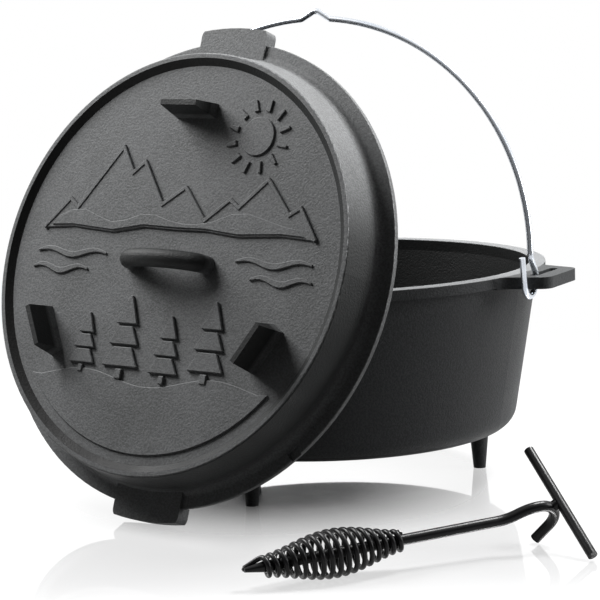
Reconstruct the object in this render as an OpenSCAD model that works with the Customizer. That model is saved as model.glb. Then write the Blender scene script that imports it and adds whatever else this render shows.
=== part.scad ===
// Camp dutch oven with its lid leaning on the rim, a wire bail and a lid lifter lying in front.
// Millimetres, Z up. The origin is on the ground under the pot's axis and X points to the right ear.

/* [Pot] */
// Outer diameter of the rim
rim_d = 360; // [320:1:420]
// Height of the rim over the ground
rim_height = 172.5; // [140:0.5:210]
// Width of the flat land on top of the rim
rim_land = 12.2; // [10:0.1:16]
// Depth of the thick band under the land
rim_band = 9; // [6:0.5:12]
// Wall thickness of the casting
pot_wall = 5.2; // [4:0.1:7]
// How far the outer wall draws in from the band to the bottom
pot_draft = 20.5; // [8:0.5:24]
// Outer rounding between wall and bottom
bottom_round = 18; // [10:0.5:26]
// Thickness of the floor
floor_t = 6; // [5:0.5:9]

/* [Pot legs] */
// Height of the pot's underside over the ground
leg_height = 39; // [25:0.5:50]
// Radius of the circle that the three legs stand on
leg_circle_r = 125; // [100:1:132]
// Leg diameter at the pot
leg_root_d = 18; // [11:0.5:20]
// Leg diameter at the ground
leg_foot_d = 10; // [8:0.5:11]

/* [Ears] */
// Reach of an ear past the rim
ear_reach = 29.5; // [28:0.5:38]
// Width of an ear where it leaves the rim
ear_root_w = 77; // [72:0.5:90]
// Width of an ear at its end, before rounding
ear_end_w = 58; // [54:0.5:66]
// Rounding of the ear's end corners
ear_corner = 10; // [6:0.5:14]
// Hollow rounding between ear and rim
ear_blend = 12; // [8:0.5:16]
// Length of the bail's slot, along the rim
slot_length = 44; // [38:0.5:46]
// Play of the bail's wire across the slot
slot_play = 2.2; // [1.4:0.1:3]
// Middle of the slot, past the rim
slot_offset = 13.4; // [13:0.1:17]

/* [Bail] */
// Wire diameter
bail_wire_d = 4.8; // [4:0.1:5]
// How far the arc's radius stays inside the middle of the slots
bail_inset = 0.4; // [0:0.1:2]
// Height of the arc's middle over the hinge line
bail_arc_rise = 10; // [4:0.5:16]
// Height over the hinge line at which the arc ends and the offset begins
bail_offset_height = 24.5; // [24:0.5:36]
// Slant of the offset that takes the wire into the slot
bail_offset_slant = 40; // [32:1:46]
// Bend radius of the offset and of the leg over it
bail_bend_r = 6; // [4:0.5:7]
// Rounding radius of the hanging notch in the crown
notch_r = 5; // [4:0.5:7]
// Slope of the hanging notch
notch_slope = 30; // [24:1:36]
// Width of the hanging notch
notch_w = 30; // [24:1:40]
// Clearance between the hook and the bar of the ear that it goes round
hook_gap = 0.6; // [0.4:0.1:1.2]
// Outward slant of the hook's free end
hook_splay = 19; // [5:1:20]
// Length of the hook's free end over the hinge line
hook_end = 22; // [14:0.5:26]
// Backward lean of the bail as it stands
bail_lean = 8.5; // [0:0.5:12]

/* [Lid] */
// Overhang of the lid's flange past the pot's rim
lid_overhang = 1.5; // [0.5:0.1:4]
// Thickness of the flange
flange_t = 4; // [3:0.5:6]
// Width of the flange outside the raised wall
flange_w = 13; // [10:0.5:16]
// Height of the raised rim over the flange
lid_rise = 32.2; // [24:0.2:40]
// Width of the land on top of the raised rim
lid_land = 4; // [3:0.5:6]
// How far the raised wall draws in from the flange to its land
lid_draft = 5.7; // [3:0.1:9]
// Depth of the tray inside the raised rim
tray_depth = 4; // [2:0.5:8]
// Run of the slope from the raised rim's land down to the tray
tray_slope = 5.2; // [2:0.2:8]
// Thickness of the lid's plate and wall
lid_wall = 5; // [4:0.5:7]
// Depth of the ring under the flange that keeps the lid centred on the pot
lip_depth = 5; // [3:0.5:8]
// Play of that ring inside the pot's rim
lip_play = 1.4; // [0.8:0.1:3]
// Fillet between flange and raised wall
lid_fillet = 6; // [3:0.5:8]

/* [Lid tabs] */
// Width of the two grip tabs
tab_w = 63; // [50:1:80]
// Reach of a tab past the flange
tab_reach = 10.5; // [8:0.5:18]
// Height of a tab over the flange
tab_rise = 2; // [1:0.5:8]
// Depth of a tab's outer part under the flange's face
tab_depth = 10; // [6:0.5:14]
// Rounding of a tab's corners
tab_corner = 7; // [4:0.5:10]
// Width of the shallow notch for a probe's cable in the flange
cable_notch_w = 9; // [6:0.5:12]
// Depth of that notch
cable_notch_depth = 2; // [1:0.25:2.5]
// Place of the notch round the lid, from its right side
cable_notch_angle = -46; // [-60:1:-30]

/* [Lid handle] */
// Diameter of the loop handle's bar
handle_d = 14; // [11:0.5:16]
// Distance between the middles of the handle's two roots
handle_span = 72; // [60:1:84]
// Height of the bar's middle over the plate
handle_rise = 17; // [16:0.5:24]
// Turn of the bar at each root before the flatter crown
handle_shoulder = 65; // [60:1:72]

/* [Lid feet] */
// Height of the three feet over the plate
foot_height = 24.5; // [20:0.5:30]
// Width of a foot at its root
foot_root_w = 37.5; // [30:0.5:44]
// Width of a foot at its tip
foot_tip_w = 33.5; // [24:0.5:36]
// Thickness of a foot at its root
foot_root_t = 11.5; // [9:0.5:14]
// Thickness of a foot at its tip
foot_tip_t = 4; // [3:0.5:6]
// Radius of the circle that the feet stand on
foot_circle_r = 118; // [100:1:122]

/* [Lid pose] */
// Lean of the lid from upright
lid_lean = 20.15; // [14:0.05:26]
// Turn of the lid's face from straight ahead
lid_turn = -7.8; // [-14:0.1:0]
// Sideways place of the lid's middle
lid_shift = -12; // [-20:0.5:0]
// Gap between the lid's back and the rim that it leans on
lid_gap = 0.3; // [0.2:0.1:1]

/* [Lifter] */
// Diameter of the lifter's rod
rod_d = 7.6; // [6:0.1:8.5]
// Rod length from the grip's middle to the start of the crank
shank_length = 124.7; // [110:0.1:150]
// Rise of the crank over the rod's line
crank_rise = 7.4; // [4:0.2:10]
// Run of the crank along the rod
crank_run = 31; // [26:0.5:40]
// Bend radius of the lifting hook
lift_hook_r = 15; // [12:0.5:18]
// Turn of the lifting hook
lift_hook_turn = 120; // [110:1:130]
// Straight end of the lifting hook
lift_hook_end = 15; // [12:0.5:18]
// Diameter of the crossbar
bar_d = 7.2; // [5.5:0.1:8]
// Length of the crossbar
bar_length = 102; // [96:1:116]
// Place of the crossbar round the outside of the hook's bend
bar_seat = 45; // [38:1:52]
// Radius of the weld between crossbar and rod
weld_r = 4.2; // [3.4:0.1:4.8]

/* [Lifter grip] */
// Wire diameter of the spiral grip
coil_wire_d = 3.7; // [3.2:0.1:5]
// Number of turns
coil_turns = 16.75; // [13:0.25:17]
// Length that the turns take
coil_length = 101.6; // [98:0.2:120]
// Largest outer diameter of the spiral
coil_d = 34; // [28:0.5:38]
// How quickly the spiral swells: 1 is a plain half wave
coil_swell = 1.6; // [1:0.05:1.8]
// Length of the drawn-out point of the grip
tip_length = 14; // [12:0.5:18]
// Diameter of the rod at its point
tip_d = 3; // [2:0.2:4]
// Clearance between the spiral's ends and the rod
coil_gap = 0.3; // [0.2:0.05:0.5]

/* [Lifter pose] */
// Place of the grip's middle on the ground, to the right
lifter_x = 158; // [140:1:220]
// Distance of the grip's middle in front of the rim
lifter_front = 112.1; // [100:0.1:160]
// Direction of the rod on the ground, from the right
lifter_turn = 51.4; // [45:0.1:60]
// Height of the spiral's lowest turn over the ground
lifter_gap = 0.2; // [0.1:0.1:1]

/* [Hidden] */
$fn = 96;
cut = 1;
leg_count = 3;
leg_start = 30;
leg_sink = 3;
foot_count = 3;
foot_start = 90;
handle_sink = 2;
ring_turn = 15;
coil_sides = 8;
coil_phase = -20;
pose_rounds = 6;

// Bent wire: bends are a hair thicker than the straights that reach into them, so that they join cleanly
bend_swell = 0.1;
reach_in = 0.5;
tie = 1;

// Pot
rim_r = rim_d / 2;
rim_in_r = rim_r - rim_land;
band_z = rim_height - rim_band;
wall_top_r = rim_in_r + pot_wall;
wall_low_r = wall_top_r - pot_draft;
floor_z = leg_height + floor_t;
inner_round = bottom_round - pot_wall;
inner_low_r = wall_low_r - pot_wall + pot_draft * floor_t / (band_z - leg_height);
band_cove = min(rim_band / 8, rim_r - wall_top_r);

// Ears: the bar between a slot's front end and the ear's front flank is the bail's hinge
ear_t = rim_band;
ear_end_r = rim_r + ear_reach;
slot_r = rim_r + slot_offset;
slot_w = bail_wire_d + slot_play;
ear_taper = (ear_root_w - ear_end_w) / 2 / ear_reach;
flank_at_slot = ear_root_w / 2 - ear_taper * slot_offset;
slot_half = slot_length / 2;
bar_half = (flank_at_slot - slot_half) / 2;
hinge_y = -(flank_at_slot + slot_half) / 2;
hinge_z = rim_height - ear_t / 2;

// Bail: its hook runs round the bar on an arc about the hinge line
hook_r = norm([bar_half, ear_t / 2]) + hook_gap + bail_wire_d / 2;
bail_arc_r = slot_r - bail_inset;
arc_z = bail_arc_rise;
notch_start = asin(notch_w / 2 / bail_arc_r);
arc_end = acos((bail_offset_height - arc_z) / bail_arc_r);
leg_turn = 90 - arc_end;
leg_x = bail_arc_r * sin(arc_end) + tie * cos(arc_end) + bail_bend_r * (1 - cos(leg_turn));
leg_z = bail_offset_height - tie * sin(arc_end) - bail_bend_r * sin(leg_turn) - tie;
notch_bends = notch_r * (2 * sin(notch_slope) - sin(notch_start));
notch_run = notch_w / 2 - notch_bends - tie / 2 - tie * cos(notch_start);
notch_length = notch_run / cos(notch_slope);
notch_rise = notch_r * (1 + cos(notch_start) - 2 * cos(notch_slope)) + notch_length * sin(notch_slope)
    + tie * sin(notch_start);
bail_peak = arc_z + bail_arc_r * cos(notch_start) + notch_rise;
offset_out = slot_r - leg_x;
offset_side = norm([offset_out, hook_r]);
offset_heading = atan2(hook_r, -offset_out);
offset_bends = 2 * bail_bend_r * (1 - cos(bail_offset_slant));
offset_length = (offset_side - offset_bends) / sin(bail_offset_slant);
offset_drop = 2 * bail_bend_r * sin(bail_offset_slant) + offset_length * cos(bail_offset_slant);
hook_start = leg_z - offset_drop;

// Lid, in its own frame: Z out of its face, Y to its upper tab, zero on the flange's face
flange_r = rim_r + lid_overhang;
lid_wall_r = flange_r - flange_w;
land_out_r = lid_wall_r - lid_draft;
land_in_r = land_out_r - lid_land;
tray_r = land_in_r - tray_slope;
plate_z = lid_rise - tray_depth;
hollow_z = plate_z - lid_wall;
hollow_r = land_out_r - lid_wall;
lip_out_r = rim_in_r - lip_play;
lip_in_r = lip_out_r - lid_wall;
tab_r = flange_r + tab_reach;
shoulder_sin = sin(handle_shoulder);
shoulder_cos = cos(handle_shoulder);
crown_slope = (1 - shoulder_sin) / shoulder_cos;
handle_half = handle_span / 2 - tie * shoulder_sin;
shoulder_r = (handle_rise - tie * shoulder_cos - crown_slope * handle_half)
    / (shoulder_sin - crown_slope * (1 - shoulder_cos));
handle_crown_r = (handle_half - shoulder_r * (1 - shoulder_cos)) / shoulder_cos;

// Lid pose: its lower tab stands on the ground and the rim's edge reaches into its hollow back
lid_z = tab_r * cos(lid_lean) + tab_depth * sin(lid_lean);
lean_depth = hollow_z - lid_gap;
lid_front = rim_r - (lean_depth - (rim_height - lid_z) * sin(lid_lean)) / cos(lid_lean);

// Lifter, in its own frame: X along the rod to the hook, Z away from the hook's opening
crank_turn = 2 * atan(crank_rise / crank_run);
crank_r = (crank_run - tie * cos(crank_turn)) / 2 / sin(crank_turn);
crank_top = crank_rise + tie * tan(crank_turn / 2);
hook_center = [shank_length + crank_run + tie, crank_top - lift_hook_r];
bar_offset = lift_hook_r + (rod_d + bend_swell + bar_d) / 2;
bar_center = hook_center + bar_offset * [sin(bar_seat), cos(bar_seat)];
weld_center = hook_center + (lift_hook_r + rod_d / 2) * [sin(bar_seat), cos(bar_seat)];
hook_tip = hook_center + lift_hook_r * [sin(lift_hook_turn), cos(lift_hook_turn)]
    + lift_hook_end * [cos(lift_hook_turn), -sin(lift_hook_turn)];
coil_start = coil_length / 2;
coil_pitch = coil_length / coil_turns;
coil_mid_r = (coil_d - coil_wire_d) / 2;
coil_end_r = norm([(rod_d + coil_wire_d) / 2 + coil_gap, coil_wire_d / 2]);
coil_end_turn = 2 * asin(coil_wire_d / 2 / coil_end_r);
bead_d = coil_wire_d + 2 * coil_gap;
bead_sink = coil_wire_d / 3;
tip_taper = (rod_d - tip_d) / 2 / tip_length;
lead_length = tip_length - coil_wire_d;
lead_end_r = tip_d / 2 + tip_taper * (tip_length - lead_length) + coil_wire_d / 2 + coil_gap;
lead_taper = (coil_end_r - lead_end_r) / lead_length;
coil_tail_length = 0.65 * coil_wire_d;
coil_angle = 360 * coil_turns;
lead_angle = 90;
tip_x = -coil_length / 2 - tip_length;

// Lifter pose: grip, crossbar end and hook tip rest on the ground, found by a few rounds of settling
lifter_y = -rim_r - lifter_front;
lifter_z = coil_d / 2 + lifter_gap;
function settle_pitch(roll) = asin(clamp(((rod_d / 2 - hook_tip.y) * cos(roll) - lifter_z) / hook_tip.x));
function settle_roll(pitch) =
    let (drop = lifter_z + bar_center.x * sin(pitch) - bar_d / 2)
        asin(clamp(drop / norm([bar_length / 2, bar_center.y]))) + atan2(bar_center.y, bar_length / 2);
function settle(roll, rounds) = rounds <= 0 ? roll : settle(settle_roll(settle_pitch(roll)), rounds - 1);
lifter_roll = settle(30, pose_rounds);
lifter_pitch = settle_pitch(lifter_roll);

// Shared functions
function clamp(v) = max(-1, min(1, v));
function unit(v) = v / norm(v);
function fillet(a, p, b, r) = let (u = unit(a - p), v = unit(b - p), half = acos(u * v) / 2)
    [p + u * r / tan(half), p + unit(u + v) * r / sin(half), p + v * r / tan(half)];

// Centre line of the spiral grip at a winding angle, and the tube's rings along it
function swell(angle) = pow(sin(180 * angle / coil_angle), coil_swell);
function lead(angle) = max(0, (angle - coil_angle) / lead_angle);
function lead_x(angle) = lead_length * pow(lead(angle), 2);
function coil_r(angle) = angle <= 0 ? coil_end_r
    : angle < coil_angle ? coil_end_r + (coil_mid_r - coil_end_r) * swell(angle)
    : coil_end_r - lead_taper * lead_x(angle);
function coil_x(angle) = coil_start - coil_pitch * min(angle, coil_angle) / 360 - lead_x(angle);
function coil_out(angle) = [0, cos(coil_phase - angle), sin(coil_phase - angle)];
function coil_point(angle) = [coil_x(angle), 0, 0] + coil_r(angle) * coil_out(angle);
function coil_heading(angle) = unit(coil_point(angle + 1) - coil_point(angle - 1));
coil_last = coil_angle + lead_angle;
coil_head = coil_point(-coil_end_turn);
coil_head_way = unit(coil_head - coil_point(0));
coil_tail_way = coil_heading(coil_last);
coil_tail = coil_point(coil_last) + coil_tail_length * coil_tail_way;
coil_angles = [for (a = [0:ring_turn:coil_last]) a];
coil_line = concat([coil_head], [for (a = coil_angles) coil_point(a)], [coil_tail]);
coil_ways = concat([-coil_head_way], [for (a = coil_angles) coil_heading(a)], [coil_tail_way]);
coil_turned = concat([-coil_end_turn], coil_angles, [coil_last]);
coil_tube = [for (i = [0:len(coil_line) - 1])
    let (t = coil_ways[i], out = coil_out(coil_turned[i]),
        n = unit(out - t * (out * t)), b = cross(t, n))
    for (k = [0:coil_sides - 1])
        let (w = 360 * k / coil_sides) coil_line[i] + coil_wire_d / 2 * (cos(w) * n + sin(w) * b)];
half_loop = 180 / ring_turn;
coil_self_gap = min([for (i = [0:len(coil_line) - 1]) for (j = [i + half_loop:1:len(coil_line) - 1])
    norm(coil_line[i] - coil_line[j])]) - coil_wire_d;
echo(coil_self_gap = coil_self_gap);

// An outline with rounded corners: each corner is [x, y, radius], and a radius below zero is a hollow one
module outline(corners) {
    n = len(corners);
    p = [for (c = corners) [c[0], c[1]]];
    arcs = [for (i = [0:n - 1]) fillet(p[(i + n - 1) % n], p[i], p[(i + 1) % n], abs(corners[i][2]))];
    difference() {
        union() {
            polygon([for (i = [0:n - 1]) each corners[i][2] == 0 ? [p[i]] : [arcs[i][0], arcs[i][2]]]);
            for (i = [0:n - 1])
                if (corners[i][2] > 0)
                    translate(arcs[i][1])
                        circle(corners[i][2]);
        }
        for (i = [0:n - 1])
            if (corners[i][2] < 0)
                translate(arcs[i][1])
                    circle(-corners[i][2]);
    }
}

// A straight stretch of wire along Z, with what follows placed at its end
module straight(d, length) {
    translate([0, 0, -reach_in])
        cylinder(d = d, h = length + 2 * reach_in);
    translate([0, 0, length])
        children();
}

// A bend of wire from Z toward a heading round Z, with what follows placed at its end
module bend(d, r, angle, toward = 0) {
    rotate(toward) {
        translate([r, 0, 0])
            rotate([90, 0, 0])
                rotate(180 - angle)
                    rotate_extrude(angle = angle)
                        translate([r, 0])
                            circle(d = d + bend_swell);
        translate([r, 0, 0])
            rotate([0, angle, 0])
                translate([-r, 0, 0])
                    rotate(-toward)
                        children();
    }
}

// Places what follows at a point, with Z turned to a direction
module along(point, direction) {
    translate(point)
        rotate([0, acos(direction.z / norm(direction)), atan2(direction.y, direction.x)])
            children();
}

// Pot
module pot_section() {
    difference() {
        outline([[0, leg_height, 0], [wall_low_r, leg_height, bottom_round], [wall_top_r, band_z, 0],
            [rim_r, band_z + band_cove, 0], [rim_r, rim_height, 0], [0, rim_height, 0]]);
        outline([[0, floor_z, 0], [inner_low_r, floor_z, inner_round], [rim_in_r, band_z, 0],
            [rim_in_r, rim_height + cut, 0], [0, rim_height + cut, 0]]);
    }
}

module ear_outline() {
    root = ear_root_w / 2;
    end = ear_end_w / 2;
    outward = unit([ear_taper, 1]);
    foot = [rim_r, root] * outward + ear_blend;
    blend = outward * foot + [outward.y, -outward.x] * sqrt(pow(rim_r + ear_blend, 2) - foot * foot);
    difference() {
        union() {
            outline([[rim_in_r, -root, 0], [rim_r, -root, 0], [ear_end_r, -end, ear_corner],
                [ear_end_r, end, ear_corner], [rim_r, root, 0], [rim_in_r, root, 0]]);
            for (side = [0, 1])
                mirror([0, side])
                    difference() {
                        polygon([[wall_top_r, root], [rim_r, root], blend - ear_blend * outward, blend,
                            blend * rim_r / (rim_r + ear_blend), blend * wall_top_r / (rim_r + ear_blend)]);
                        translate(blend)
                            circle(ear_blend);
                    }
        }
        circle(wall_top_r);
        slot();
    }
}

module slot() {
    reach = (slot_length - slot_w) / 2;
    translate([slot_r, 0]) {
        square([slot_w, 2 * reach], center = true);
        for (y = [-reach, reach])
            translate([0, y])
                circle(d = slot_w);
    }
}

module pot() {
    color([0.13, 0.13, 0.13]) {
        rotate_extrude()
            pot_section();
        for (side = [0, 1])
            mirror([side, 0, 0])
                translate([0, 0, rim_height - ear_t])
                    linear_extrude(ear_t)
                        ear_outline();
        for (i = [0:leg_count - 1])
            rotate(leg_start + 360 * i / leg_count)
                translate([leg_circle_r, 0, 0])
                    cylinder(d1 = leg_foot_d, d2 = leg_root_d, h = leg_height + leg_sink);
    }
}

// Lid
module lid_section() {
    outline([[0, hollow_z, 0], [hollow_r, hollow_z, -lid_wall], [lip_in_r, -flange_t - lip_depth, 0],
        [lip_out_r, -flange_t - lip_depth, 0], [lip_out_r, -flange_t, 0], [flange_r, -flange_t, 0],
        [flange_r, 0, flange_t / 4], [lid_wall_r, 0, -lid_fillet], [land_out_r, lid_rise, lid_land / 3],
        [land_in_r, lid_rise, lid_land / 6], [tray_r, plate_z, 0], [0, plate_z, 0]]);
}

module tab_outline(from_r) {
    half = tab_w / 2;
    difference() {
        intersection() {
            outline([[-half, 0, 0], [half, 0, 0], [half, tab_r, tab_corner], [-half, tab_r, tab_corner]]);
            circle(tab_r);
        }
        circle(from_r);
    }
}

module tab() {
    translate([0, 0, -flange_t])
        linear_extrude(flange_t + tab_rise)
            tab_outline(lid_wall_r - lid_wall / 2);
    translate([0, 0, -tab_depth])
        linear_extrude(tab_depth + tab_rise)
            tab_outline(flange_r - flange_t / 4);
}

module handle() {
    translate([-handle_span / 2, 0, plate_z - handle_sink])
        straight(handle_d, handle_sink)
            bend(handle_d, shoulder_r, handle_shoulder)
                straight(handle_d, tie)
                    bend(handle_d, handle_crown_r, 180 - 2 * handle_shoulder)
                        straight(handle_d, tie)
                            bend(handle_d, shoulder_r, handle_shoulder)
                                straight(handle_d, handle_sink);
}

module wedge(root, tip, length) {
    rotate([90, 0, 0])
        linear_extrude(length, center = true)
            polygon([[-root / 2, -cut], [root / 2, -cut], [root / 2, 0], [tip / 2, foot_height],
                [-tip / 2, foot_height], [-root / 2, 0]]);
}

module lid_foot() {
    translate([foot_circle_r, 0, plate_z])
        intersection() {
            wedge(foot_root_t, foot_tip_t, 2 * foot_root_w);
            rotate(90)
                wedge(foot_root_w, foot_tip_w, 2 * foot_root_w);
        }
}

module lid_casting() {
    difference() {
        union() {
            rotate_extrude()
                lid_section();
            for (side = [0, 1])
                mirror([0, side, 0])
                    tab();
        }
        rotate(cable_notch_angle)
            translate([lid_wall_r + lid_fillet, -cable_notch_w / 2, -cable_notch_depth])
                cube([flange_w, cable_notch_w, cable_notch_depth + cut]);
    }
    handle();
    for (i = [0:foot_count - 1])
        rotate(foot_start + 360 * i / foot_count)
            lid_foot();
}

module lid() {
    color([0.16, 0.16, 0.16])
        rotate(lid_turn)
            translate([lid_shift, -lid_front, lid_z])
                rotate([90 - lid_lean, 0, 0])
                    lid_casting();
}

// Bail: one half from the peak of the notch to the hook's free end, and its mirror image
module bail_half() {
    d = bail_wire_d;
    translate([tie / 2, 0, bail_peak])
        rotate([0, 90, 0])
            bend(d, notch_r, notch_slope)
                straight(d, notch_length)
                    bend(d, notch_r, notch_slope - notch_start, 180)
                        straight(d, tie)
                            bend(d, bail_arc_r, arc_end - notch_start)
                                straight(d, tie)
                                    bend(d, bail_bend_r, leg_turn)
                                        straight(d, tie)
                                            bail_hook();
}

module bail_hook() {
    d = bail_wire_d;
    bend(d, bail_bend_r, bail_offset_slant, offset_heading)
        straight(d, offset_length)
            bend(d, bail_bend_r, bail_offset_slant, offset_heading + 180)
                straight(d, hook_start)
                    bend(d, hook_r, 180 - hook_splay, -90)
                        straight(d, hook_end);
}

module bail() {
    color([0.75, 0.76, 0.78])
        translate([0, hinge_y, hinge_z])
            rotate([-bail_lean, 0, 0]) {
                translate([-tie / 2, 0, bail_peak])
                    rotate([0, 90, 0])
                        straight(bail_wire_d, tie);
                for (side = [0, 1])
                    mirror([side, 0, 0])
                        bail_half();
            }
}

// Lifter
module lifter_place() {
    translate([lifter_x, lifter_y, lifter_z])
        rotate([0, 0, lifter_turn])
            rotate([0, -lifter_pitch, 0])
                rotate([lifter_roll, 0, 0])
                    children();
}

module rod_shape() {
    translate([tip_x, 0, 0])
        rotate([0, 90, 0]) {
            cylinder(d1 = tip_d, d2 = rod_d, h = tip_length);
            translate([0, 0, tip_length])
                straight(rod_d, coil_length / 2 + shank_length)
                    bend(rod_d, crank_r, crank_turn, 180)
                        straight(rod_d, tie)
                            bend(rod_d, crank_r, crank_turn)
                                straight(rod_d, tie)
                                    bend(rod_d, lift_hook_r, lift_hook_turn)
                                        straight(rod_d, lift_hook_end - reach_in);
        }
}

module bar_shape() {
    translate([bar_center.x, 0, bar_center.y])
        rotate([90, 0, 0])
            cylinder(d = bar_d, h = bar_length, center = true);
}

module lifter_rod() {
    color([0.05, 0.05, 0.05])
        lifter_place()
            rod_shape();
}

module lifter_crossbar() {
    color([0.07, 0.07, 0.07])
        lifter_place()
            bar_shape();
}

module crossbar_weld() {
    color([0.1, 0.1, 0.1])
        lifter_place()
            difference() {
                along([weld_center.x, 0, weld_center.y], [sin(bar_seat), 0, cos(bar_seat)])
                    cylinder(r = weld_r, h = weld_r, center = true);
                rod_shape();
                bar_shape();
            }
}

module grip_coil() {
    last = len(coil_line) - 1;
    s = coil_sides;
    sides = [for (i = [0:last - 1]) for (k = [0:s - 1])
        let (a = i * s + k, b = i * s + (k + 1) % s)
            each [[a, b, a + s], [b, b + s, a + s]]];
    caps = [for (k = [1:s - 2]) each [[0, k + 1, k], [last * s, last * s + k, last * s + k + 1]]];
    color([0.06, 0.06, 0.06])
        lifter_place()
            polyhedron(coil_tube, concat(sides, caps));
}

module coil_bead(point, heading) {
    inward = unit([0, -point.y, -point.z]);
    across = unit(inward - heading * (inward * heading));
    along(point + bead_sink * across, heading)
        cylinder(d1 = bead_d, d2 = bead_d / 2, h = bead_d / 2);
}

module coil_welds() {
    color([0.1, 0.1, 0.1])
        lifter_place()
            difference() {
                union() {
                    coil_bead(coil_head, coil_head_way);
                    coil_bead(coil_tail, coil_tail_way);
                }
                rod_shape();
            }
}

pot();
lid();
bail();
lifter_rod();
lifter_crossbar();
crossbar_weld();
grip_coil();
coil_welds();
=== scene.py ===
import math

import bpy
from mathutils import Matrix, Vector


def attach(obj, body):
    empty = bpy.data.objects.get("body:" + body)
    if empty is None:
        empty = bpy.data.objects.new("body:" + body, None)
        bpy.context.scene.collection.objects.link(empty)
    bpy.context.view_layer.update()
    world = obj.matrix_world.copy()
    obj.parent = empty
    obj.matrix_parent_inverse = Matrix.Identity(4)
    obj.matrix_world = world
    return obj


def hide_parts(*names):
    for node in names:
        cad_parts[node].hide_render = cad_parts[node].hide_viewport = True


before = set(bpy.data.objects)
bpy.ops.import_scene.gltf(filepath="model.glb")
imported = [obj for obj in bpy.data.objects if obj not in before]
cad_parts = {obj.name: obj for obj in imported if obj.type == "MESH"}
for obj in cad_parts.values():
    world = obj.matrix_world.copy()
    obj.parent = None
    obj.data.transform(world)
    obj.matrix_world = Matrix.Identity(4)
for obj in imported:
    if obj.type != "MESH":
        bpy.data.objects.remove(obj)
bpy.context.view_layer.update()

bl_info = {
    "name": "Camp dutch oven",
    "version": (1, 0, 0),
    "blender": (4, 5, 0),
    "location": "View3D > Sidebar > Camp oven",
    "description": "Finishes, bail wire, grip spiral, lid relief and studio for the camp dutch oven's solids",
    "category": "Object",
}

MM = 0.001

# Lid's own frame, in metres: x across the plate, y up the plate, z out of the plate, from the flange's centre
LID_CENTRE = Vector((-0.032450, -0.148470, 0.183693))
LID_ACROSS = Vector((0.990750, -0.135720, 0.0))
LID_UP = Vector((0.046751, 0.341292, 0.938794))
LID_OUT = Vector((-0.127409, -0.930108, 0.344479))
# Heights of the tray's plate and of the raised rim in that frame
LID_PLATE = 28.2 * MM
LID_RIM = 32.2 * MM
# Slope from the raised rim down to the plate: its middle radius, half its width and its reach below the plate
LID_SLOPE_R = 156.2 * MM
LID_SLOPE_HALF = 2.7 * MM
LID_SLOPE_REACH = 1 * MM
# Radius just outside the raised rim's land, where the outer wall starts
LID_WALL_R = 162.6 * MM
# Stretches over which the lid's painted shade sets in: at the groove across the plate, on the lower outer
# wall up from the flange and up the plate, and on the handle and feet up from the rim
GROOVE_SHADE_ACROSS = (-40 * MM, 50 * MM)
WALL_SHADE_FROM_FLANGE = (2.5 * MM, 9 * MM)
WALL_SHADE_UP = (15 * MM, 75 * MM)
RAISED_SHADE_FROM_RIM = (1 * MM, 5 * MM)

# Pot's wall, just outside its inner side: radius at the ground, gain in radius with height, radius at the
# mouth, and a height within the floor's thickness
POT_FOOT_R = 141.9 * MM
POT_FLARE = 0.16466
POT_MOUTH_R = 168.0 * MM
POT_FLOOR = 41.6 * MM
# Land that the lid sits on, where the highlight is painted: the rim's outer radius and top, and how far below
# the top it counts
POT_RIM_R = 180.0 * MM
POT_RIM_TOP = 172.5 * MM
POT_LAND_REACH = 0.4 * MM

# Bail's own frame: x along the hinge line between the ears, and its backward lean
BAIL_HINGE = Vector((0.0, -0.0280924, 0.168))
BAIL_LEAN = math.radians(-8.5)

# Lifter's own frame: x along the rod to the hook, from the middle of the grip
LIFTER_PLACE = Vector((0.158, -0.2921, 0.0172))
LIFTER_TURN = math.radians(51.4)
LIFTER_PITCH = math.radians(-3.02844)
LIFTER_ROLL = math.radians(35.4979)

# Sockets of a Mix node, by place because several share a name: its numbers, its colours and its mixed colour
NUMBER_A, NUMBER_B, COLOUR_A, COLOUR_B, COLOUR_OUT = 2, 3, 6, 7, 2

# Roughness of the iron's baked film, and how far it strays below and above
POT_ROUGH = 0.5
LID_ROUGH = 0.52
ROUGH_BELOW = 0.06
ROUGH_ABOVE = 0.08

# Distance under which two points of a mesh are one; bevel resolution and smoothing angle of a round wire
MERGE = 0.01 * MM
WIRE_RESOLUTION = 5
WIRE_SMOOTH = math.radians(40)

# Floor sheet: radius, depth under the ground, sides and roughness
FLOOR_R = 7.0
FLOOR_DEPTH = 0.0002
FLOOR_SIDES = 96
FLOOR_ROUGH = 0.03
# Middle of the floor's mirror image, and the distances from it over which the image grows weak, the weak
# image ends and the shadow ends; strengths of the weak image and the shadow
POOL_MIDDLE = Vector((-0.02, -0.05, 0.0))
MIRROR_FALL = (0.05, 0.2)
MIRROR_END = (0.45, 0.9)
SHADE_END = (0.3, 0.8)
MIRROR_WEAK = 0.24
SHADE = 0.18
# Stretches of the floor, along the photograph's view, over which the image and the glow set in from the front
MIRROR_FRONT = (-0.45, -0.31)
GLOW_FRONT = (-1.0, -0.5)
# The same for the surround, as the cosine between a direction and the middle of the white sweep
SWEEP_FRONT = (-0.3, 0.3)
# Brightness of the room on the camera's side, and of the even light on the object
FRONT_ROOM = 0.18
SOFT_LIGHT = 0.03
WHITE = (1.0, 1.0, 1.0, 1.0)

# Photograph's camera: place in metres, its axes, its focal length in pixels and on a sensor as wide as the
# picture, and the range it sees
CAMERA_PLACE = Vector((0.861846, -1.620797, 0.402902))
CAMERA_RIGHT = Vector((0.879856, 0.474301, -0.029851))
CAMERA_DOWN = Vector((0.040492, -0.137403, -0.989687))
CAMERA_AHEAD = Vector((-0.473512, 0.869574, -0.140100))
CAMERA_PIXELS = 2289.03
PICTURE_WIDTH = 600
CAMERA_SENSOR = 36.0
CAMERA_LENS = CAMERA_PIXELS * CAMERA_SENSOR / PICTURE_WIDTH
CAMERA_RANGE = (0.05, 50.0)


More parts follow.
